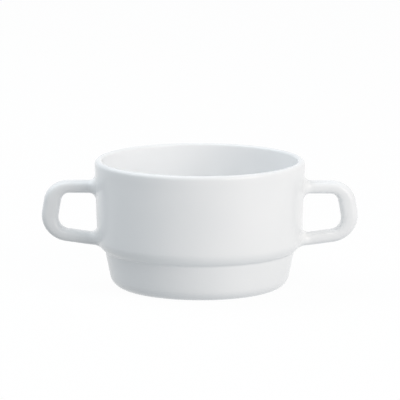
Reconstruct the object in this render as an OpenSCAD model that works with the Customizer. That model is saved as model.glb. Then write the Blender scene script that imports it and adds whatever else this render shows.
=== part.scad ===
// Broth cup: a round stacking bowl of opaque white glass with a closed loop handle on each side.
// Sizes are in millimetres. The origin is the centre of the plane that the cup stands on,
// +X runs through the right handle and +Z is up.

/* [Bowl] */
// Outside diameter across the lip
rim_d = 105; // [90:0.5:130]
// Height from the table to the top of the lip
bowl_h = 64; // [52:0.5:90]
// Thickness of the rounded lip
lip_t = 3.5; // [2.6:0.1:5]
// How far the lip stands proud of the wall below it
lip_bead = 0.2; // [0.1:0.05:0.8]
// Height of the band at the top over which the wall swells into the lip
lip_band = 7.5; // [6:0.1:12]
// Thickness of the wall below the lip
wall_t = 3.2; // [2.4:0.1:4.5]
// Radius that the upper wall loses from the lip to the shoulder
wall_draft = 1.05; // [0.2:0.05:3]
// Thickness of the floor above the recess
floor_t = 4; // [2.5:0.1:6]
// Radius of the inside corner between the wall and the floor
floor_r = 8; // [4:0.5:12]
// Radius of the inside corners where the wall follows the shoulder
inside_r = 4; // [1:0.5:6]

/* [Foot] */
// Height of the foot, from the table to the crease under the shoulder
foot_h = 18.4; // [13:0.1:24]
// Height of the sloping shoulder between the foot and the wall
shoulder_h = 2.8; // [2:0.1:8]
// Radius that the shoulder steps in from the wall to the foot
shoulder_step = 3.85; // [2.5:0.05:6]
// Radius that the foot loses from the crease down to the table
foot_taper = 3.8; // [1:0.1:8]
// Radius of the rounded edge between the wall and the shoulder
shoulder_r = 7; // [1:0.1:10]
// Radius of the crease between the shoulder and the foot
crease_r = 1.5; // [0.5:0.1:5]
// Radius of the rounded edge at the bottom of the foot
base_r = 6.8; // [3:0.1:9]
// Width of the flat ring that the cup stands on
ring_w = 4; // [2:0.1:8]
// Depth of the recess inside that ring
recess_h = 1.6; // [0.6:0.1:3]
// Radius of the edges of the recess
recess_r = 0.7; // [0.2:0.1:1]

/* [Handles] */
// Clear gap between the wall and the grip, half way up the handle
finger_gap = 18.8; // [14:0.1:28]
// Drop from the top of the lip to the middle of the upper arm
arm_drop = 13.8; // [11:0.1:20]
// Rise from the shoulder's edge to the middle of the lower arm where it meets the wall
arm_rise = 2.4; // [0:0.1:6]
// Downward slope of the lower arm towards the wall, in degrees
arm_slope = 8; // [0:0.5:15]
// Outward lean of the grip going down, in degrees
grip_lean = 9.8; // [0:0.2:15]
// Thickness of the arms, seen from the front
arm_t = 6.2; // [4.5:0.1:9]
// Thickness of the grip, seen from the front
grip_t = 8.5; // [5:0.1:12]
// Width of the handle, front to back
handle_w = 10.5; // [8:0.5:20]
// Squareness of the handle's section, from 2 for an ellipse upwards
section_square = 2.7; // [2:0.1:4]
// Radius of the centreline at the upper elbow
upper_elbow_r = 8.3; // [5:0.1:12]
// Radius of the centreline at the lower elbow
lower_elbow_r = 9.9; // [5:0.1:12]
// Radius of the fillet above and below an arm where it runs into the wall
root_r = 3.6; // [1.5:0.1:5]
// Radius of that fillet at the sides of an arm
root_side_r = 5; // [1.5:0.1:7]

/* [Hidden] */
$fn = 128;
opal_white = [0.93, 0.94, 0.95];

// Steps along a rounded corner of the bowl's outline
corner_steps = 8;
// Points around the handle's section, and steps along an arm, an elbow and the grip
section_sides = 28;
arm_steps = 13;
elbow_steps = 12;
grip_steps = 5;
// Power that gathers an arm's steps near its root
arm_gather = 1.5;
// How far the arms reach into the wall before they are trimmed to it
root_depth = 4;
// Share of the root fillet left off next to the wall, so that the arm meets it at an angle
fillet_stop = 0.15;
// Largest share of an edge that its fillet may take, and that the fillets at both ends may take
fillet_share = 0.7;
slope_share = 0.95;
// Least straight length of the grip between its elbows
grip_straight = 1;
// Flat left along the top of the lip
lip_flat = 0.2;
// Share of the lip's rounding that lies on its outer side
lip_share = 0.6;
// Radius of the bends where the wall swells into the lip
bead_r = 30;

// Radii and heights of the bowl
rim_r = rim_d / 2;
wall_top_r = rim_r - lip_bead;
band_z = bowl_h - lip_band;
shoulder_z = foot_h + shoulder_h;
wall_low_r = wall_top_r - wall_draft;
foot_top_r = wall_low_r - shoulder_step;
foot_base_r = foot_top_r - foot_taper;
floor_z = recess_h + floor_t;
lip_out_r = (lip_t - lip_flat) * lip_share;
lip_in_r = (lip_t - lip_flat) * (1 - lip_share);
bead_rise = lip_band / 2;
recess_round = min(recess_r, recess_h * fillet_share / 2);

// The flat ring begins where the rounded edge of the foot meets the table
foot_lean = atan2(foot_taper, foot_h);
ring_outer_r = foot_base_r - base_r * tan(45 - foot_lean / 2);
ring_inner_r = ring_outer_r - ring_w;

// The crease and the rounded edge of the shoulder share the slope between them
shoulder_lean = atan2(shoulder_step, shoulder_h);
slope_need = shoulder_r * tan(shoulder_lean / 2) + crease_r * tan((shoulder_lean - foot_lean) / 2);
slope_scale = min(1, slope_share * norm([shoulder_step, shoulder_h]) / slope_need);

// The inside follows the outside one wall thickness in, which lifts its corners at the shoulder
inside_lift = wall_t * tan(shoulder_lean / 2);
floor_edge_r = foot_base_r + foot_taper * floor_z / foot_h - wall_t;
foot_inside_h = foot_h + inside_lift - floor_z;
floor_round = min(floor_r, foot_inside_h * fillet_share / tan(45 - foot_lean / 2));

// Corners of the bowl's outline as [radius from the axis, height, rounding]
underside = [
    [0, recess_h, 0],
    [ring_inner_r, recess_h, recess_round],
    [ring_inner_r, 0, recess_round]
];
outside = [
    [foot_base_r, 0, base_r],
    [foot_top_r, foot_h, crease_r * slope_scale],
    [wall_low_r, shoulder_z, shoulder_r * slope_scale],
    [wall_top_r, band_z, bead_r],
    [rim_r, band_z + bead_rise, bead_r],
    [rim_r, bowl_h, lip_out_r]
];
inside = [
    [rim_r - lip_t, bowl_h, lip_in_r],
    [wall_low_r - wall_t, shoulder_z + inside_lift, inside_r],
    [foot_top_r - wall_t, foot_h + inside_lift, inside_r],
    [floor_edge_r, floor_z, floor_round],
    [0, floor_z, 0]
];

// Corners of the handle's centreline as [x, z]: the grip's line meets the line of each arm
upper_z = bowl_h - arm_drop;
lower_z = shoulder_z + arm_rise;
grip_z = (upper_z + lower_z) / 2;
grip_x = wall_r(grip_z) + finger_gap + grip_t / 2;
upper_corner = [grip_x - (upper_z - grip_z) * tan(grip_lean), upper_z];
lower_reach = grip_x + grip_z * tan(grip_lean) - wall_low_r;
lower_corner_z = (lower_z + lower_reach * tan(arm_slope)) / (1 + tan(grip_lean) * tan(arm_slope));
lower_corner = [grip_x + (grip_z - lower_corner_z) * tan(grip_lean), lower_corner_z];

// The elbows turn the heading from level outwards to sloping back inwards
upper_turn = 90 - grip_lean;
lower_turn = 90 + grip_lean - arm_slope;
elbow_room = norm(lower_corner - upper_corner) - grip_straight;
elbow_need = upper_elbow_r * tan(upper_turn / 2) + lower_elbow_r * tan(lower_turn / 2);
elbow_scale = min(1, elbow_room / elbow_need);
upper_bend_r = upper_elbow_r * elbow_scale;
lower_bend_r = lower_elbow_r * elbow_scale;

// Where the straight stretches and the elbows of the centreline begin and end
upper_bend_start = upper_corner - heading(0) * upper_bend_r * tan(upper_turn / 2);
upper_bend_centre = upper_bend_start - outward(0) * upper_bend_r;
grip_start = upper_bend_centre + outward(upper_turn) * upper_bend_r;
grip_end = lower_corner - heading(upper_turn) * lower_bend_r * tan(lower_turn / 2);
lower_bend_centre = grip_end - outward(upper_turn) * lower_bend_r;
full_turn = upper_turn + lower_turn;
lower_bend_end = lower_bend_centre + outward(full_turn) * lower_bend_r;
upper_arm_l = upper_bend_start.x - wall_r(upper_z);
lower_arm_l = (lower_bend_end.x - wall_low_r) / cos(arm_slope);

// Outside radius of the upper wall at height z
function wall_r(z) = wall_low_r + wall_draft * (z - shoulder_z) / (band_z - shoulder_z);

// Unit vector of v
function unit(v) = v / norm(v);

// Arc of the given radius that rounds the corner between two neighbouring points
function corner_arc(before, corner, after, radius) =
    let (
        back = unit(before - corner),
        ahead = unit(after - corner),
        half = acos(back * ahead) / 2,
        centre = corner + unit(back + ahead) * radius / sin(half),
        first = corner + back * radius / tan(half) - centre,
        last = corner + ahead * radius / tan(half) - centre,
        start = atan2(first.y, first.x),
        sweep = (atan2(last.y, last.x) - start + 540) % 360 - 180
    )
    [for (i = [0 : corner_steps])
        let (angle = start + sweep * i / corner_steps)
        centre + radius * [cos(angle), sin(angle)]];

// Closed outline of corners [x, y, rounding]
function rounded(corners) =
    let (count = len(corners), spots = [for (c = corners) [c.x, c.y]])
    [for (i = [0 : count - 1])
        let (before = spots[(i + count - 1) % count], after = spots[(i + 1) % count])
        each corners[i].z > 0 ? corner_arc(before, spots[i], after, corners[i].z) : [spots[i]]];

// Direction of the centreline after it has turned by an angle, and the normal on its outer side
function heading(turn) = [cos(turn), -sin(turn)];
function outward(turn) = [sin(turn), cos(turn)];

// Smooth step from 0 to 1
function ease(t) = t * t * (3 - 2 * t);

// Growth of the section at a distance from the wall, from a root fillet of the given radius
function flare(distance, radius) =
    let (near = max(distance, fillet_stop * radius))
    near >= radius ? 0 : radius - sqrt(radius ^ 2 - (radius - near) ^ 2);

// Distances from the wall along an arm, from the buried end to where the elbow begins
function arm_distances(length) =
    concat([-root_depth], [for (i = [0 : arm_steps]) length * (i / arm_steps) ^ arm_gather]);

// Rings of the handle as [centre, turn, thickness, outer, inner and side growth at the root]
upper_arm_rings = [for (d = arm_distances(upper_arm_l))
    [upper_bend_start - heading(0) * (upper_arm_l - d), 0, arm_t,
        flare(d, root_r), flare(d, root_r), flare(d, root_side_r)]];
upper_bend_rings = [for (i = [1 : elbow_steps])
    let (t = i / elbow_steps, turn = upper_turn * t)
    [upper_bend_centre + outward(turn) * upper_bend_r, turn,
        arm_t + (grip_t - arm_t) * ease(t), 0, 0, 0]];
grip_rings = [for (i = [1 : grip_steps])
    [grip_start + (grip_end - grip_start) * i / grip_steps, upper_turn, grip_t, 0, 0, 0]];
lower_bend_rings = [for (i = [1 : elbow_steps])
    let (t = i / elbow_steps, turn = upper_turn + lower_turn * t)
    [lower_bend_centre + outward(turn) * lower_bend_r, turn,
        grip_t + (arm_t - grip_t) * ease(t), 0, 0, 0]];
lower_arm_distances = arm_distances(lower_arm_l);
lower_arm_rings = [for (i = [len(lower_arm_distances) - 2 : -1 : 0])
    let (d = lower_arm_distances[i])
    [lower_bend_end + heading(full_turn) * (lower_arm_l - d), full_turn, arm_t,
        0, flare(d, root_r), flare(d, root_side_r)]];
rings = concat(upper_arm_rings, upper_bend_rings, grip_rings, lower_bend_rings, lower_arm_rings);

// Share of the half width at a sine or cosine, which squares the section's corners
function squared(share) = sign(share) * abs(share) ^ (2 / section_square);

// Point of a ring at an angle around its squared oval section
function section_point(ring, angle) =
    let (
        growth = cos(angle) > 0 ? ring[3] : ring[4],
        out = squared(cos(angle)) * (ring[2] / 2 + growth),
        side = squared(sin(angle)) * (handle_w / 2 + ring[5]),
        normal = outward(ring[1])
    )
    [ring[0].x + normal.x * out, side, ring[0].y + normal.y * out];

handle_points = [for (ring = rings, j = [0 : section_sides - 1])
    section_point(ring, 360 * j / section_sides)];
handle_skin = [for (i = [0 : len(rings) - 2], j = [0 : section_sides - 1])
    let (
        a = i * section_sides + j,
        b = i * section_sides + (j + 1) % section_sides,
        c = b + section_sides,
        d = a + section_sides
    )
    each [[a, b, c], [a, c, d]]];
last_ring = (len(rings) - 1) * section_sides;
handle_ends = [for (j = [1 : section_sides - 2])
    each [[0, j + 1, j], [last_ring, last_ring + j, last_ring + j + 1]]];

// Solid of the bowl's outside, which the arms are trimmed to
module bowl_envelope() {
    rotate_extrude() polygon(rounded(concat([[0, 0, 0]], outside, [[0, bowl_h, 0]])));
}

// Loop handle on the +X side, its roots trimmed to the wall and the shoulder
module loop_handle() {
    difference() {
        polyhedron(handle_points, concat(handle_skin, handle_ends));
        bowl_envelope();
    }
}

// Bowl with its lip, wall, shoulder, stacking foot and recessed underside
module cup_body() {
    color(opal_white) rotate_extrude() polygon(rounded(concat(underside, outside, inside)));
}

// Handle on the -X side
module handle_left() {
    color(opal_white) mirror([1, 0, 0]) loop_handle();
}

// Handle on the +X side
module handle_right() {
    color(opal_white) loop_handle();
}

cup_body();
handle_left();
handle_right();
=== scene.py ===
"""Looks of a two-handled broth cup of opaque white glass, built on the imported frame."""

import logging
import math
from dataclasses import dataclass
from enum import Enum

import bmesh
import bpy
from bmesh.types import BMEdge, BMesh, BMVert
from mathutils import Matrix, Vector
from mathutils.bvhtree import BVHTree


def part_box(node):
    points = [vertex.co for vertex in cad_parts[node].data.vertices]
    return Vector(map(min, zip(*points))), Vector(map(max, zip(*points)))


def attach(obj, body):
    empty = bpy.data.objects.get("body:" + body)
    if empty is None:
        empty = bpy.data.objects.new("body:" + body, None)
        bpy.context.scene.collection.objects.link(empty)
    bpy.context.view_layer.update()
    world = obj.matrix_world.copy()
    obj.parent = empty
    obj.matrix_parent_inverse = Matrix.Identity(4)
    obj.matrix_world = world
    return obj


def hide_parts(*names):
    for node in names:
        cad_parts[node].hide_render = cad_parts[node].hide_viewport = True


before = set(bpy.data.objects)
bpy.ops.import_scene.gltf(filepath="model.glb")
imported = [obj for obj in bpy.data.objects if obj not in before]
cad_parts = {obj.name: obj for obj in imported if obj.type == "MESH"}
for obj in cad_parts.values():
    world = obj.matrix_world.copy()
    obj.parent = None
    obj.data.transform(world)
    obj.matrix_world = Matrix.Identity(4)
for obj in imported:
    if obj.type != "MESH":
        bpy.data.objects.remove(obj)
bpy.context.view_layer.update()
LOG = logging.getLogger("broth_cup")
MM = 0.001
BODY = "root"

# The middle span of a noise's values
NOISE_SPAN = (0.35, 0.65)

Colour = tuple[float, float, float, float]
Feed = bpy.types.NodeSocket | float | tuple[float, ...]


class Side(Enum):
    """The side of the bowl that a handle stands on, as the sign of its X."""

    LEFT = -1
    RIGHT = 1

    @property
    def node(self) -> str:
        """Name of the CAD node of the handle on this side."""
        return f"handle_{self.name.lower()}"


def link_mesh(name: str, bm: BMesh) -> bpy.types.Object:
    """Turns a finished bmesh into a smooth-shaded object at the origin.

    Args:
        name: Name of the object and its mesh.
        bm: The mesh, which is freed.

    Returns:
        The new object, linked to the scene.
    """
    mesh = bpy.data.meshes.new(name)
    bm.to_mesh(mesh)
    bm.free()
    mesh.polygons.foreach_set("use_smooth", [True] * len(mesh.polygons))
    piece = bpy.data.objects.new(name, mesh)
    bpy.context.scene.collection.objects.link(piece)
    return piece


def dress_node(name: str, bm: BMesh, node: str, material: bpy.types.Material) -> bpy.types.Object:
    """Makes a finished mesh the piece that stands for a CAD node.

    Args:
        name: Name of the piece.
        bm: Its mesh, which is freed.
        node: The CAD node that it stands for.
        material: Its finish.

    Returns:
        The piece.
    """
    piece = link_mesh(name, bm)
    piece.data.materials.append(material)
    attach(piece, BODY)
    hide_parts(node)
    return piece


def ease(t: float) -> float:
    """Smooth step from 0 at t = 0 to 1 at t = 1."""
    t = min(max(t, 0.0), 1.0)
    return t * t * (3.0 - 2.0 * t)


@dataclass(frozen=True)
class Corner:
    """A corner of the bowl's outline: distance from the axis, height and rounding."""

    radius: float
    height: float
    rounding: float = 0.0

    @property
    def spot(self) -> Vector:
        """The corner's place in the plane of the outline."""
        return Vector((self.radius, 0.0, self.height))


@dataclass
class Bowl:
    """The pressed bowl: rounded lip, upright wall, shoulder, stacking foot and recess."""

    lip_thickness: float = 3.5 * MM
    lip_flat: float = 0.2 * MM
    lip_outer_share: float = 0.6
    lip_bead: float = 0.2 * MM
    lip_band: float = 7.5 * MM
    bead_radius: float = 30.0 * MM
    wall_thickness: float = 3.2 * MM
    wall_draft: float = 1.05 * MM
    shoulder_height: float = 21.2 * MM
    shoulder_step: float = 3.85 * MM
    shoulder_radius: float = 7.0 * MM
    foot_height: float = 18.4 * MM
    foot_taper: float = 3.8 * MM
    crease_radius: float = 1.5 * MM
    base_radius: float = 6.8 * MM
    ring_width: float = 4.0 * MM
    recess_depth: float = 1.6 * MM
    recess_radius: float = 0.55 * MM
    floor_thickness: float = 4.0 * MM
    floor_radius: float = 8.0 * MM
    inside_radius: float = 4.0 * MM
    rounding_steps: int = 10
    longest_edge: float = 3.0 * MM
    spin_steps: int = 192
    weld_distance: float = 0.001 * MM

    def outline(self) -> list[Corner]:
        """Works out the corners of the bowl's half section.

        Returns:
            The corners from the middle of the underside, up the outside, over the lip and
            down the inside to the middle of the floor.
        """
        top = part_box("cup_body")[1]
        rim, height = top.x, top.z
        wall_top = rim - self.lip_bead
        wall_low = wall_top - self.wall_draft
        foot_top = wall_low - self.shoulder_step
        foot_base = foot_top - self.foot_taper
        foot_lean = math.atan2(self.foot_taper, self.foot_height)
        ring_outer = foot_base - self.base_radius * math.tan(math.pi / 4 - foot_lean / 2)
        ring_inner = ring_outer - self.ring_width
        band = height - self.lip_band
        lip_round = self.lip_thickness - self.lip_flat
        step_lean = math.atan2(self.shoulder_step, self.shoulder_height - self.foot_height)
        lift = self.wall_thickness * math.tan(step_lean / 2)
        floor = self.recess_depth + self.floor_thickness
        floor_edge = foot_base + self.foot_taper * floor / self.foot_height - self.wall_thickness
        return [
            Corner(0.0, self.recess_depth),
            Corner(ring_inner, self.recess_depth, self.recess_radius),
            Corner(ring_inner, 0.0, self.recess_radius),
            Corner(foot_base, 0.0, self.base_radius),
            Corner(foot_top, self.foot_height, self.crease_radius),
            Corner(wall_low, self.shoulder_height, self.shoulder_radius),
            Corner(wall_top, band, self.bead_radius),
            Corner(rim, band + self.lip_band / 2, self.bead_radius),
            Corner(rim, height, lip_round * self.lip_outer_share),
            Corner(rim - self.lip_thickness, height, lip_round * (1.0 - self.lip_outer_share)),
            Corner(wall_low - self.wall_thickness, self.shoulder_height + lift, self.inside_radius),
            Corner(foot_top - self.wall_thickness, self.foot_height + lift, self.inside_radius),
            Corner(floor_edge, floor, self.floor_radius),
            Corner(0.0, floor),
        ]

    def build(self) -> BMesh:
        """Rounds the outline's corners and spins it into the bowl.

        Returns:
            The closed mesh of the bowl, its faces pointing out of the glass.
        """
        corners = self.outline()
        bm = bmesh.new()
        verts = [bm.verts.new(corner.spot) for corner in corners]
        for first, second in zip(verts, verts[1:]):
            bm.edges.new((first, second))
        for index in range(1, len(corners) - 1):
            self.round_corner(bm, verts[index], corners[index - 1 : index + 2])
        for edge in list(bm.edges):
            cuts = int(edge.calc_length() / self.longest_edge)
            if cuts:
                bmesh.ops.subdivide_edges(bm, edges=[edge], cuts=cuts)
        bmesh.ops.spin(
            bm,
            geom=list(bm.verts) + list(bm.edges),
            cent=(0.0, 0.0, 0.0),
            axis=(0.0, 0.0, 1.0),
            angle=math.tau,
            steps=self.spin_steps,
            use_merge=True,
        )
        bmesh.ops.remove_doubles(bm, verts=list(bm.verts), dist=self.weld_distance)
        bmesh.ops.recalc_face_normals(bm, faces=list(bm.faces))
        return bm

    def round_corner(self, bm: BMesh, vert: BMVert, corners: list[Corner]) -> None:
        """Replaces a corner of the wire outline by a tangent arc.

        Args:
            bm: The mesh that holds the outline.
            vert: The outline's vertex at the corner.
            corners: The corner before, the corner itself and the corner after.
        """
        before, corner, after = corners
        turn = math.pi - (before.spot - corner.spot).angle(after.spot - corner.spot)
        bmesh.ops.bevel(
            bm,
            geom=[vert],
            affect="VERTICES",
            offset=corner.rounding * math.tan(turn / 2),
            offset_type="OFFSET",
            segments=self.rounding_steps,
            profile=0.5,
            material=-1,
        )

    @staticmethod
    def dress(bm: BMesh, material: bpy.types.Material) -> bpy.types.Object:
        """Turns the bowl's mesh into its piece."""
        return dress_node("bowl", bm, "cup_body", material)


@dataclass(frozen=True)
class Ring:
    """One section of a handle: its centre, how far the centreline has turned, and its half sizes."""

    centre: Vector
    turn: float
    half_thickness: float
    half_width: float
    wall_gap: float | None = None

    @property
    def matrix(self) -> Matrix:
        """Places the unit section, whose Z points to the outer side of the loop."""
        size = Matrix.Diagonal((1.0, self.half_width, self.half_thickness, 1.0))
        return Matrix.Translation(self.centre) @ Matrix.Rotation(self.turn, 4, "Y") @ size


@dataclass
class LoopHandle:
    """A closed loop handle: two arms, two elbows and a grip that leans outwards going down."""

    side: Side
    arm_thickness: float = 6.2 * MM
    grip_thickness: float = 8.5 * MM
    width: float = 10.5 * MM
    squareness: float = 2.7
    upper_arm_height: float = 50.2 * MM
    lower_arm_height: float = 23.6 * MM
    lower_arm_slope: float = math.radians(8.0)
    grip_lean: float = math.radians(9.8)
    grip_reach: float = 74.75 * MM
    upper_elbow_radius: float = 8.3 * MM
    lower_elbow_radius: float = 9.9 * MM
    wall_radius: float = 51.6 * MM
    root_fillet: float = 3.4 * MM
    root_side_fillet: float = 5.0 * MM
    lower_root_fillet_below: float = 2.0 * MM
    skirt_width: float = 0.8 * MM
    skirt_rise: float = 0.015 * MM
    buried_depth: float = 0.8 * MM
    section_sides: int = 48
    elbow_steps: int = 24
    straight_steps: int = 8
    fillet_steps: int = 20

    def build(self, wall: BVHTree) -> BMesh:
        """Sweeps the section along the centreline and seats both roots on the wall.

        Args:
            wall: Search tree of the bowl's mesh.

        Returns:
            The closed mesh of the handle on its own side of the bowl.
        """
        rings = self.rings()
        bm = bmesh.new()
        edges = self.unit_section(bm)
        verts = list(bm.verts)
        bmesh.ops.transform(bm, matrix=rings[0].matrix, verts=verts)
        placed = [(rings[0], verts)]
        for before, ring in zip(rings, rings[1:]):
            grown = bmesh.ops.extrude_edge_only(bm, edges=edges)["geom"]
            verts = [item for item in grown if isinstance(item, BMVert)]
            edges = [item for item in grown if isinstance(item, BMEdge)]
            bmesh.ops.transform(bm, matrix=ring.matrix @ before.matrix.inverted(), verts=verts)
            placed.append((ring, verts))
        for ring, verts in placed:
            self.seat(ring, verts, wall)
        for _, skirt in (placed[1], placed[-2]):
            self.crease(skirt)
        bmesh.ops.holes_fill(bm, edges=[edge for edge in bm.edges if edge.is_boundary])
        bmesh.ops.scale(bm, vec=(self.side.value, 1.0, 1.0), verts=list(bm.verts))
        bmesh.ops.recalc_face_normals(bm, faces=list(bm.faces))
        return bm

    def unit_section(self, bm: BMesh) -> list[BMEdge]:
        """Starts the sweep with a squared circle of radius 1 in the YZ plane.

        Args:
            bm: The empty mesh to start in.

        Returns:
            The edges of the section.
        """
        bmesh.ops.create_circle(
            bm, segments=self.section_sides, radius=1.0, matrix=Matrix.Rotation(math.pi / 2, 4, "Y")
        )
        for vert in bm.verts:
            vert.co.y = self.squared(vert.co.y)
            vert.co.z = self.squared(vert.co.z)
        return list(bm.edges)

    def squared(self, share: float) -> float:
        """Moves a sine or cosine outwards, so that the section has fuller corners."""
        return math.copysign(abs(share) ** (2.0 / self.squareness), share)

    def rings(self) -> list[Ring]:
        """Lays the handle's sections along its centreline.

        Returns:
            The sections from the end that is buried at the upper root to the one at the lower root.
        """
        tan_lean, tan_slope = math.tan(self.grip_lean), math.tan(self.lower_arm_slope)
        middle = (self.upper_arm_height + self.lower_arm_height) / 2
        upper_turn = math.pi / 2 - self.grip_lean
        lower_turn = math.pi / 2 + self.grip_lean - self.lower_arm_slope
        full_turn = upper_turn + lower_turn
        upper_corner = self.spot(
            self.grip_reach - (self.upper_arm_height - middle) * tan_lean, self.upper_arm_height
        )
        reach = self.grip_reach + middle * tan_lean - self.wall_radius
        low = (self.lower_arm_height + reach * tan_slope) / (1.0 + tan_lean * tan_slope)
        lower_corner = self.spot(self.grip_reach + (middle - low) * tan_lean, low)
        upper_start = upper_corner - self.heading(0.0) * (
            self.upper_elbow_radius * math.tan(upper_turn / 2)
        )
        upper_centre = upper_start - self.outward(0.0) * self.upper_elbow_radius
        grip_start = upper_centre + self.outward(upper_turn) * self.upper_elbow_radius
        grip_end = lower_corner - self.heading(upper_turn) * (
            self.lower_elbow_radius * math.tan(lower_turn / 2)
        )
        lower_centre = grip_end - self.outward(upper_turn) * self.lower_elbow_radius
        lower_end = lower_centre + self.outward(full_turn) * self.lower_elbow_radius
        upper_length = upper_start.x - self.wall_radius
        lower_length = (lower_end.x - self.wall_radius) / math.cos(self.lower_arm_slope)

        arm, grip, half_width = self.arm_thickness / 2, self.grip_thickness / 2, self.width / 2
        rings = [
            self.root_ring(upper_start - self.heading(0.0) * (upper_length - gap), 0.0, gap, skirt,
                           self.root_fillet, self.root_fillet)
            for gap, skirt in self.arm_gaps(upper_length)
        ]
        for step in range(1, self.elbow_steps + 1):
            share = step / self.elbow_steps
            turn = upper_turn * share
            thickness = arm + (grip - arm) * ease(share)
            centre = upper_centre + self.outward(turn) * self.upper_elbow_radius
            rings.append(Ring(centre, turn, thickness, half_width))
        for step in range(1, self.straight_steps + 1):
            centre = grip_start.lerp(grip_end, step / self.straight_steps)
            rings.append(Ring(centre, upper_turn, grip, half_width))
        for step in range(1, self.elbow_steps):
            share = step / self.elbow_steps
            turn = upper_turn + lower_turn * share
            thickness = grip + (arm - grip) * ease(share)
            centre = lower_centre + self.outward(turn) * self.lower_elbow_radius
            rings.append(Ring(centre, turn, thickness, half_width))
        rings += [
            self.root_ring(lower_end + self.heading(full_turn) * (lower_length - gap), full_turn, gap,
                           skirt, self.lower_root_fillet_below, self.root_fillet)
            for gap, skirt in reversed(self.arm_gaps(lower_length))
        ]
        return rings

    def arm_gaps(self, length: float) -> list[tuple[float, float]]:
        """Distances from the wall at which an arm has rings, from its buried end to its elbow.

        Args:
            length: Length of the arm's straight stretch.

        Returns:
            Pairs of the distance and the width of the skirt that lies on the wall there.
        """
        gaps = [(-self.buried_depth, self.skirt_width), (self.skirt_rise, self.skirt_width)]
        for step in range(self.fillet_steps, -1, -1):
            angle = math.pi / 2 * step / self.fillet_steps
            gaps.append((self.skirt_rise + self.root_side_fillet * (1.0 - math.sin(angle)), 0.0))
        start = gaps[-1][0]
        for step in range(1, self.straight_steps + 1):
            gaps.append((start + (length - start) * step / self.straight_steps, 0.0))
        return gaps

    def root_ring(self, centre: Vector, turn: float, gap: float, skirt: float,
                  outer_fillet: float, inner_fillet: float) -> Ring:
        """Makes a ring of an arm, grown by the fillets near the wall.

        Args:
            centre: The centreline's place.
            turn: How far the centreline has turned.
            gap: Distance from the wall.
            skirt: Extra growth of the skirt that lies on the wall.
            outer_fillet: Radius of the fillet on the outer side of the loop.
            inner_fillet: Radius of the fillet on the inner side of the loop.

        Returns:
            The ring, whose wall gap is kept for seating.
        """
        near = max(gap - self.skirt_rise, 0.0)
        outer = self.flare(near, outer_fillet) + skirt
        inner = self.flare(near, inner_fillet) + skirt
        side = self.flare(near, self.root_side_fillet) + skirt
        shifted = centre + self.outward(turn) * (outer - inner) / 2
        thickness = self.arm_thickness / 2 + (outer + inner) / 2
        return Ring(shifted, turn, thickness, self.width / 2 + side, gap)

    def seat(self, ring: Ring, verts: list[BMVert], wall: BVHTree) -> None:
        """Moves a root ring along X, so that it keeps its gap from the curved wall.

        Args:
            ring: The ring, left alone if it has no wall gap.
            verts: Its vertices.
            wall: Search tree of the bowl's mesh.
        """
        if ring.wall_gap is None:
            return
        share = 1.0 - ease((ring.wall_gap - self.skirt_rise) / self.root_side_fillet)
        outside = 2.0 * self.wall_radius
        for vert in verts:
            origin = Vector((outside, vert.co.y, vert.co.z))
            hit = wall.ray_cast(origin, Vector((-1.0, 0.0, 0.0)))[0]
            vert.co.x += share * (hit.x + ring.wall_gap - vert.co.x)

    @staticmethod
    def crease(verts: list[BMVert]) -> None:
        """Marks a ring's own edges sharp, so that its shading doesn't round over the fold there.

        Args:
            verts: The ring's vertices.
        """
        ring = set(verts)
        for edge in {edge for vert in verts for edge in vert.link_edges}:
            if ring.issuperset(edge.verts):
                edge.smooth = False

    def dress(self, bm: BMesh, material: bpy.types.Material) -> bpy.types.Object:
        """Turns the handle's mesh into its piece."""
        return dress_node(f"loop_{self.side.node}", bm, self.side.node, material)

    @staticmethod
    def flare(gap: float, radius: float) -> float:
        """Works out how much a fillet widens a section near the wall.

        Args:
            gap: Distance of the section from the wall.
            radius: The fillet's radius.

        Returns:
            The growth on one side of the section.
        """
        if gap >= radius:
            return 0.0
        return radius - math.sqrt(radius**2 - (radius - gap) ** 2)

    @staticmethod
    def spot(reach: float, height: float) -> Vector:
        """A place in the handle's plane."""
        return Vector((reach, 0.0, height))

    @staticmethod
    def heading(turn: float) -> Vector:
        """Direction of the centreline after it has turned."""
        return Vector((math.cos(turn), 0.0, -math.sin(turn)))

    @staticmethod
    def outward(turn: float) -> Vector:
        """Normal on the outer side of the loop after the centreline has turned."""
        return Vector((math.sin(turn), 0.0, math.cos(turn)))


def add_node(
    tree: bpy.types.NodeTree,
    kind: str,
    feeds: dict[str | int, Feed] | None = None,
    **settings: str | bpy.types.NodeTree,
) -> bpy.types.Node:
    """Adds a node to a tree.

    Args:
        tree: The tree.
        kind: The node's type.
        feeds: What its inputs take: another node's output, or a value of their own.
        settings: The node's own settings.

    Returns:
        The node.
    """
    made = tree.nodes.new(kind)
    for name, setting in settings.items():
        setattr(made, name, setting)
    for name, feed in (feeds or {}).items():
        if isinstance(feed, bpy.types.NodeSocket):
            tree.links.new(feed, made.inputs[name])
        else:
            made.inputs[name].default_value = feed
    return made


def map_range(
    tree: bpy.types.NodeTree,
    value: bpy.types.NodeSocket,
    low: Feed,
    high: Feed,
    span: tuple[float, float] = (0.0, 1.0),
) -> bpy.types.NodeSocket:
    """Stretches a span of a value to a new range, and holds what lies past its ends there.

    Args:
        tree: The tree to add the node to.
        value: The value.
        low: What it becomes at the start of the span.
        high: What it becomes at the end of the span.
        span: The start and the end of the span.

    Returns:
        The stretched value.
    """
    feeds = {"Value": value, "From Min": span[0], "From Max": span[1], "To Min": low, "To Max": high}
    return add_node(tree, "ShaderNodeMapRange", feeds).outputs["Result"]


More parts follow.
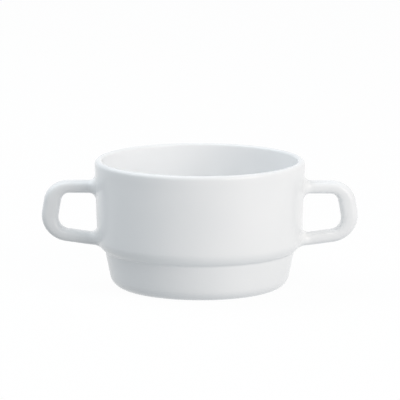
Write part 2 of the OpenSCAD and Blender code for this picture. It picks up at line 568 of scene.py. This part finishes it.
class Mix(Enum):
    """Kinds of mixes: the node's word for the kind, and the sockets of its inputs and its result."""

    VALUES = ("FLOAT", 2, 3, 0)
    COLOURS = ("RGBA", 6, 7, 2)

    def add(
        self, tree: bpy.types.NodeTree, share: Feed, first: Feed, second: Feed
    ) -> bpy.types.NodeSocket:
        """Adds a mix of this kind to a tree.

        Args:
            tree: The tree.
            share: Share of the second input.
            first: What comes out at a share of 0.
            second: What comes out at a share of 1.

        Returns:
            The mixed value or colour.
        """
        data_type, first_socket, second_socket, result_socket = self.value
        feeds = {0: share, first_socket: first, second_socket: second}
        return add_node(tree, "ShaderNodeMix", feeds, data_type=data_type).outputs[result_socket]


class SocketKind(Enum):
    """Kinds of sockets on the glass effects."""

    PLACE = "NodeSocketVector"
    VALUE = "NodeSocketFloat"
    COLOUR = "NodeSocketColor"


class GlassEffect:
    """A node group that several finishes share, each with its own values."""

    def __init__(self, name: str, inputs: dict[str, SocketKind], output: tuple[str, SocketKind]) -> None:
        """Starts the group with its named sockets.

        Args:
            name: Name of the group.
            inputs: Its inputs and their kinds.
            output: Its one output and its kind.
        """
        self.tree = bpy.data.node_groups.new(name, "ShaderNodeTree")
        self.output_name = output[0]
        for label, kind in inputs.items():
            self.tree.interface.new_socket(label, in_out="INPUT", socket_type=kind.value)
        self.tree.interface.new_socket(output[0], in_out="OUTPUT", socket_type=output[1].value)
        self.inputs = add_node(self.tree, "NodeGroupInput").outputs

    def noise(self, scale: str, detail: float) -> bpy.types.NodeSocket:
        """Adds a noise over the surface.

        Args:
            scale: The input that sets its scale.
            detail: How many finer layers it has.

        Returns:
            Its value.
        """
        feeds = {"Vector": self.inputs["Vector"], "Scale": self.inputs[scale], "Detail": detail}
        return add_node(self.tree, "ShaderNodeTexNoise", feeds).outputs["Fac"]

    def spread(self, value: bpy.types.NodeSocket, low: Feed, high: Feed) -> bpy.types.NodeSocket:
        """Stretches the middle of a noise between two values.

        Args:
            value: The noise.
            low: Where its low places end up.
            high: Where its high places end up.

        Returns:
            The stretched value.
        """
        return map_range(self.tree, value, low, high, NOISE_SPAN)

    def close(self, result: bpy.types.NodeSocket) -> None:
        """Sends a result to the group's output."""
        add_node(self.tree, "NodeGroupOutput", {self.output_name: result})

    def place(self, tree: bpy.types.NodeTree, feeds: dict[str | int, Feed]) -> bpy.types.NodeSocket:
        """Places the group in a material.

        Args:
            tree: The material's tree.
            feeds: What its inputs take there.

        Returns:
            The group's output.
        """
        made = add_node(tree, "ShaderNodeGroup", feeds, node_tree=self.tree)
        return made.outputs[self.output_name]


@dataclass
class GlassEffects:
    """The effects that every opal glass finish is made of, with how fine their noises are."""

    cloud_detail: float = 3.0
    wave_detail: float = 2.0
    peel_detail: float = 1.0
    rub_detail: float = 4.0

    def __post_init__(self) -> None:
        """Builds each group once."""
        self.clouds = self.build_clouds()
        self.skin = self.build_skin()
        self.gloss = self.build_gloss()

    def build_clouds(self) -> GlassEffect:
        """Makes milky clouds, where the opal in the glass has struck a little more.

        Returns:
            The group, which puts out a colour.
        """
        place, value, colour = SocketKind.PLACE, SocketKind.VALUE, SocketKind.COLOUR
        inputs = {"Vector": place, "Scale": value, "Clear": colour, "Milky": colour}
        effect = GlassEffect("opal_clouds", inputs, ("Color", colour))
        share = effect.spread(effect.noise("Scale", self.cloud_detail), 0.0, 1.0)
        effect.close(Mix.COLOURS.add(effect.tree, share, effect.inputs["Clear"], effect.inputs["Milky"]))
        return effect

    def build_skin(self) -> GlassEffect:
        """Makes the slow waves and the fine peel that pressing leaves in the skin.

        Returns:
            The group, which puts out a height.
        """
        place, value = SocketKind.PLACE, SocketKind.VALUE
        inputs = {"Vector": place, "Wave Scale": value, "Peel Scale": value, "Peel Share": value}
        effect = GlassEffect("pressed_skin", inputs, ("Height", value))
        peel = effect.noise("Peel Scale", self.peel_detail)
        wave = effect.noise("Wave Scale", self.wave_detail)
        feeds = {0: peel, 1: effect.inputs["Peel Share"], 2: wave}
        height = add_node(effect.tree, "ShaderNodeMath", feeds, operation="MULTIPLY_ADD")
        effect.close(height.outputs[0])
        return effect

    def build_gloss(self) -> GlassEffect:
        """Makes fire-polished places beside places that washing and handling have dulled.

        Returns:
            The group, which puts out a roughness.
        """
        place, value = SocketKind.PLACE, SocketKind.VALUE
        inputs = {"Vector": place, "Scale": value, "Polished": value, "Dull": value}
        effect = GlassEffect("handled_gloss", inputs, ("Roughness", value))
        rub = effect.noise("Scale", self.rub_detail)
        effect.close(effect.spread(rub, effect.inputs["Polished"], effect.inputs["Dull"]))
        return effect


@dataclass(frozen=True)
class OpalGlass:
    """Opaque white pressed glass with a fire-polished skin."""

    name: str
    clear: Colour = (0.95, 0.954, 0.957, 1.0)
    milky: Colour = (0.935, 0.941, 0.945, 1.0)
    cloud_scale: float = 38.0
    wave_scale: float = 70.0
    peel_scale: float = 900.0
    peel_share: float = 0.12
    skin_depth: float = 0.04 * MM
    gloss_scale: float = 55.0
    polished: float = 0.18
    dull: float = 0.24
    refraction: float = 1.38

    def material(self, effects: GlassEffects) -> bpy.types.Material:
        """Builds the node material.

        Args:
            effects: The groups that it is made of.

        Returns:
            The material, ready to assign.
        """
        material = bpy.data.materials.new(self.name)
        material.use_nodes = True
        tree = material.node_tree
        shader = tree.nodes["Principled BSDF"]
        shader.inputs["IOR"].default_value = self.refraction
        place = add_node(tree, "ShaderNodeTexCoord").outputs["Object"]
        colour = effects.clouds.place(tree, {
            "Vector": place, "Scale": self.cloud_scale, "Clear": self.clear, "Milky": self.milky})
        rough = effects.gloss.place(tree, {
            "Vector": place, "Scale": self.gloss_scale, "Polished": self.polished, "Dull": self.dull})
        height = effects.skin.place(tree, {
            "Vector": place, "Wave Scale": self.wave_scale, "Peel Scale": self.peel_scale,
            "Peel Share": self.peel_share})
        bump = add_node(tree, "ShaderNodeBump", {"Height": height, "Distance": self.skin_depth})
        colour, rough = self.wear(tree, place, colour, rough)
        tree.links.new(colour, shader.inputs["Base Color"])
        tree.links.new(rough, shader.inputs["Roughness"])
        tree.links.new(bump.outputs["Normal"], shader.inputs["Normal"])
        return material

    def wear(
        self,
        tree: bpy.types.NodeTree,
        place: bpy.types.NodeSocket,
        colour: bpy.types.NodeSocket,
        rough: bpy.types.NodeSocket,
    ) -> tuple[bpy.types.NodeSocket, bpy.types.NodeSocket]:
        """Leaves colour and roughness as they are, where nothing rubs on the glass."""
        return colour, rough


@dataclass(frozen=True)
class FootedOpalGlass(OpalGlass):
    """Opal glass whose stand ring is scuffed by the tables that it has stood on."""

    scuff_height: float = 0.12 * MM
    scuff_scale: float = 900.0
    scuff_tint: Colour = (0.74, 0.74, 0.73, 1.0)
    scuff_roughness: float = 0.62

    def wear(
        self,
        tree: bpy.types.NodeTree,
        place: bpy.types.NodeSocket,
        colour: bpy.types.NodeSocket,
        rough: bpy.types.NodeSocket,
    ) -> tuple[bpy.types.NodeSocket, bpy.types.NodeSocket]:
        """Scuffs the ring that touches the table.

        Args:
            tree: The material's tree.
            place: Coordinates on the surface.
            colour: The unworn colour.
            rough: The unworn roughness.

        Returns:
            The worn colour and roughness.
        """
        height = add_node(tree, "ShaderNodeSeparateXYZ", {"Vector": place}).outputs["Z"]
        low = map_range(tree, height, 1.0, 0.0, (0.0, self.scuff_height))
        speckle = add_node(tree, "ShaderNodeTexNoise", {"Vector": place, "Scale": self.scuff_scale})
        feeds = {0: low, 1: speckle.outputs["Fac"]}
        mask = add_node(tree, "ShaderNodeMath", feeds, operation="MULTIPLY").outputs[0]
        worn = Mix.VALUES.add(tree, mask, rough, self.scuff_roughness)
        return Mix.COLOURS.add(tree, mask, colour, self.scuff_tint), worn


@dataclass(frozen=True)
class Softbox:
    """A square lamp that faces the middle of the bowl from one side."""

    name: str
    azimuth: float
    elevation: float
    distance: float
    size: float
    power: float
    tint: tuple[float, float, float]
    aim: Vector = Vector((0.0, 0.0, 35.0 * MM))

    def build(self) -> None:
        """Adds the lamp; its azimuth counts from the camera's side, towards +X."""
        lamp = bpy.data.lights.new(self.name, "AREA")
        lamp.shape = "SQUARE"
        lamp.size = self.size
        lamp.energy = self.power
        lamp.color = self.tint
        reach = math.cos(self.elevation)
        away = Vector((math.sin(self.azimuth) * reach, -math.cos(self.azimuth) * reach,
                       math.sin(self.elevation)))
        holder = bpy.data.objects.new(self.name, lamp)
        holder.location = self.aim + away * self.distance
        holder.rotation_euler = (-away).to_track_quat("-Z", "Y").to_euler()
        bpy.context.scene.collection.objects.link(holder)


@dataclass
class Studio:
    """Floor, soft light and the camera at the photograph's angle."""

    white: Colour = (1.0, 1.0, 1.0, 1.0)
    fill_tint: Colour = (0.945, 1.0, 1.04, 1.0)
    key: Softbox = Softbox(
        "key_softbox",
        azimuth=math.radians(48.2),
        elevation=math.radians(21.5),
        distance=1.3,
        size=0.97,
        power=8.2,
        tint=(1.05, 0.98, 0.93),
    )
    top: Softbox = Softbox(
        "top_softbox",
        azimuth=math.radians(-110.0),
        elevation=math.radians(57.5),
        distance=1.3,
        size=1.4,
        power=9.1,
        tint=(0.95, 1.0, 1.04),
    )
    floor_size: float = 8.0
    floor_drop: float = 0.02 * MM
    floor_grey: float = 0.16
    floor_glow: float = 0.955
    # Painted light: for bounced rays the floor glows, dimmer away from the key lamp and brighter towards
    # it, across this reach
    painted_bounce_low: float = 0.285
    painted_bounce_high: float = 0.48
    painted_bounce_reach: float = 43.0 * MM
    world_level: float = 0.455
    camera_distance: float = 2.0
    camera_elevation: float = math.radians(10.38)
    camera_roll: float = math.radians(0.15)
    focal_pixels: float = 3992.4
    frame_pixels: float = 400.0
    sensor: float = 36.0
    aim_height: float = 30.0 * MM
    aim_pixel: tuple[float, float] = (199.64, 226.27)

    def build(self) -> None:
        """Sets up everything around the object."""
        self.build_world()
        self.build_floor()
        self.key.build()
        self.top.build()
        self.build_camera()
        bpy.context.scene.view_settings.view_transform = "Standard"

    def build_world(self) -> None:
        """An even, faintly cool dome, pure white where it is seen or mirrored."""
        world = bpy.data.worlds.new("studio_dome")
        bpy.context.scene.world = world
        world.use_nodes = True
        tree = world.node_tree
        seen = self.seen_mask(tree)
        tint = Mix.COLOURS.add(tree, seen, self.fill_tint, self.white)
        level = map_range(tree, seen, self.world_level, 1.0)
        background = tree.nodes["Background"]
        tree.links.new(tint, background.inputs["Color"])
        tree.links.new(level, background.inputs["Strength"])

    @staticmethod
    def seen_mask(tree: bpy.types.NodeTree) -> bpy.types.NodeSocket:
        """Joins the rays that see or mirror the background.

        Args:
            tree: Tree of the world or of the floor's material.

        Returns:
            A socket that is 1 for camera, glossy and transmission rays.
        """
        path = add_node(tree, "ShaderNodeLightPath").outputs
        mask = path["Is Camera Ray"]
        for name in ("Is Glossy Ray", "Is Transmission Ray"):
            either = add_node(tree, "ShaderNodeMath", {0: mask, 1: path[name]}, operation="MAXIMUM")
            mask = either.outputs[0]
        return mask

    def painted_bounce_glow(self, tree: bpy.types.NodeTree) -> bpy.types.NodeSocket:
        """Painted light: glow of the floor for bounced light, which grows towards the key lamp as if the
        key lit that side of the floor.

        Args:
            tree: Tree of the floor's material.

        Returns:
            The socket with the level.
        """
        place = add_node(tree, "ShaderNodeTexCoord").outputs["Object"]
        towards_key = (math.sin(self.key.azimuth), -math.cos(self.key.azimuth), 0.0)
        feeds = {0: place, 1: towards_key}
        along = add_node(tree, "ShaderNodeVectorMath", feeds, operation="DOT_PRODUCT").outputs["Value"]
        span = (-self.painted_bounce_reach, self.painted_bounce_reach)
        return map_range(tree, along, self.painted_bounce_low, self.painted_bounce_high, span)

    def build_floor(self) -> None:
        """A pale floor a hair under the ring, white with a faint shadow, with a painted glow for bounced
        light that grows towards the key lamp, and clear from below.
        """
        bm = bmesh.new()
        lower = Matrix.Translation((0.0, 0.0, -self.floor_drop))
        bmesh.ops.create_grid(bm, x_segments=1, y_segments=1, size=self.floor_size / 2, matrix=lower)
        floor = link_mesh("floor", bm)
        material = bpy.data.materials.new("pale_floor")
        material.use_nodes = True
        tree = material.node_tree
        tree.nodes.clear()
        seen = self.seen_mask(tree)
        paint = map_range(tree, seen, self.floor_grey, 1.0)
        matt = add_node(tree, "ShaderNodeBsdfDiffuse", {"Color": paint}).outputs["BSDF"]
        tint = Mix.COLOURS.add(tree, seen, self.fill_tint, self.white)
        glow = add_node(tree, "ShaderNodeEmission", {"Color": tint}).outputs["Emission"]
        # Painted light: bounced rays see the floor glow brighter towards the key lamp; seen rays get the
        # even white glow
        share = map_range(tree, seen, self.painted_bounce_glow(tree), self.floor_glow)
        upper = add_node(tree, "ShaderNodeMixShader", {"Fac": share, 1: matt, 2: glow}).outputs["Shader"]
        below = add_node(tree, "ShaderNodeNewGeometry").outputs["Backfacing"]
        clear = add_node(tree, "ShaderNodeBsdfTransparent").outputs["BSDF"]
        surface = add_node(tree, "ShaderNodeMixShader", {"Fac": below, 1: upper, 2: clear})
        add_node(tree, "ShaderNodeOutputMaterial", {"Surface": surface.outputs["Shader"]})
        floor.data.materials.append(material)

    def build_camera(self) -> None:
        """A long lens on the bowl, aimed so that the bowl lies where the photograph has it."""
        camera = bpy.data.cameras.new("photo_camera")
        camera.sensor_width = self.sensor
        camera.lens = self.focal_pixels / self.frame_pixels * self.sensor
        elevation = self.camera_elevation
        back = Vector((0.0, -math.cos(elevation), math.sin(elevation)))
        turn = (-back).to_track_quat("-Z", "Y").to_matrix().to_4x4()
        middle = self.frame_pixels / 2
        pan = math.atan((self.aim_pixel[0] - middle) / self.focal_pixels)
        tilt = math.atan((self.aim_pixel[1] - middle) / self.focal_pixels)
        turn = turn @ Matrix.Rotation(self.camera_roll, 4, "Z")
        turn = turn @ Matrix.Rotation(pan, 4, "Y") @ Matrix.Rotation(tilt, 4, "X")
        place = Vector((0.0, 0.0, self.aim_height)) + back * self.camera_distance
        holder = bpy.data.objects.new("photo_camera", camera)
        holder.matrix_world = Matrix.Translation(place) @ turn
        bpy.context.scene.collection.objects.link(holder)
        bpy.context.scene.camera = holder


def main() -> None:
    """Builds the studio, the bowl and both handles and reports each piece."""
    logging.basicConfig(level=logging.INFO, format="%(name)s: %(message)s")
    Studio().build()
    effects = GlassEffects()
    bowl_glass = FootedOpalGlass("opal_glass_bowl").material(effects)
    handle_finish = OpalGlass(
        "opal_glass_handle", wave_scale=110.0, gloss_scale=90.0, polished=0.15, dull=0.2)
    handle_glass = handle_finish.material(effects)
    bowl = Bowl()
    bowl_mesh = bowl.build()
    wall = BVHTree.FromBMesh(bowl_mesh)
    pieces = [bowl.dress(bowl_mesh, bowl_glass)]
    for side in Side:
        handle = LoopHandle(side)
        pieces.append(handle.dress(handle.build(wall), handle_glass))
    for piece in pieces:
        LOG.info("%s: %d faces", piece.name, len(piece.data.polygons))


if __name__ == "__main__":
    main()
